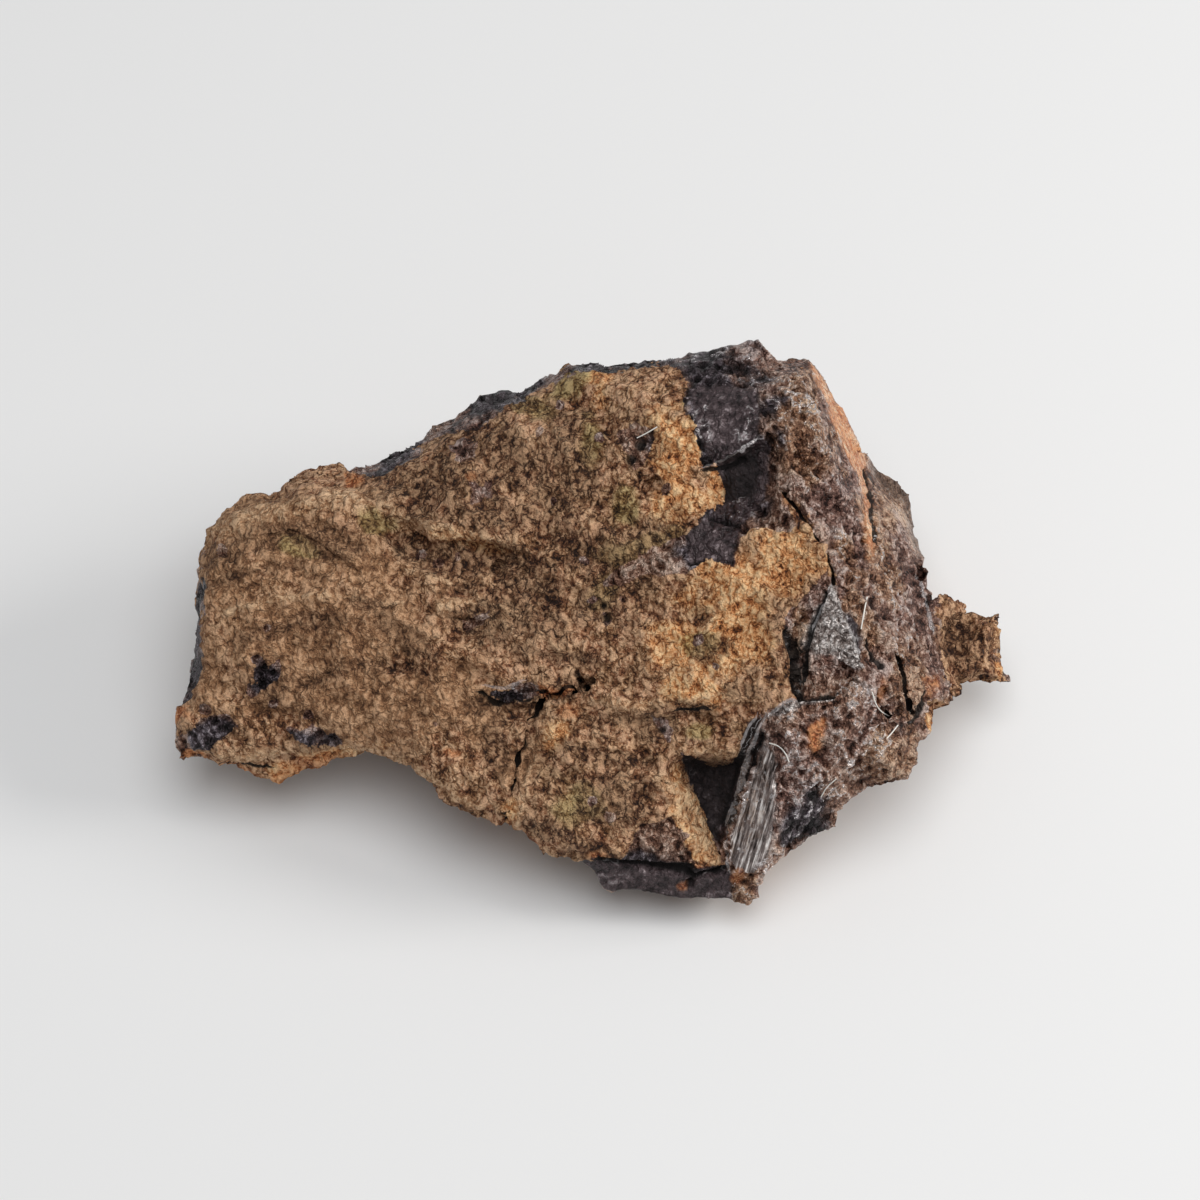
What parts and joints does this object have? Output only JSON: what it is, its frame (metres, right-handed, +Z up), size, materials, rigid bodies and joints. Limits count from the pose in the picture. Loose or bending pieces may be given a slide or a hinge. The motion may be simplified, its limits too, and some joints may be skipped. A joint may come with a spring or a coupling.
{
  "type": "iron meteorite end cut",
  "caption": "Angular weathered iron meteorite fragment with an ochre crust, a dark broken side, a notch and a thin raised end.",
  "frame": {"origin": "centre of the small flat spot that the fragment rests on", "axes": "+Z up from the table, +X along the fragment's length to its thick end with the spike, -Y towards the viewer of the ochre face"},
  "size_m": [0.0243, 0.0159, 0.0092],
  "materials": {
    "weathered_iron": "ochre rust crust over dark rough iron"
  },
  "bodies": {
    "root": {"meteorite": "weathered_iron"}
  },
  "joints": []
}
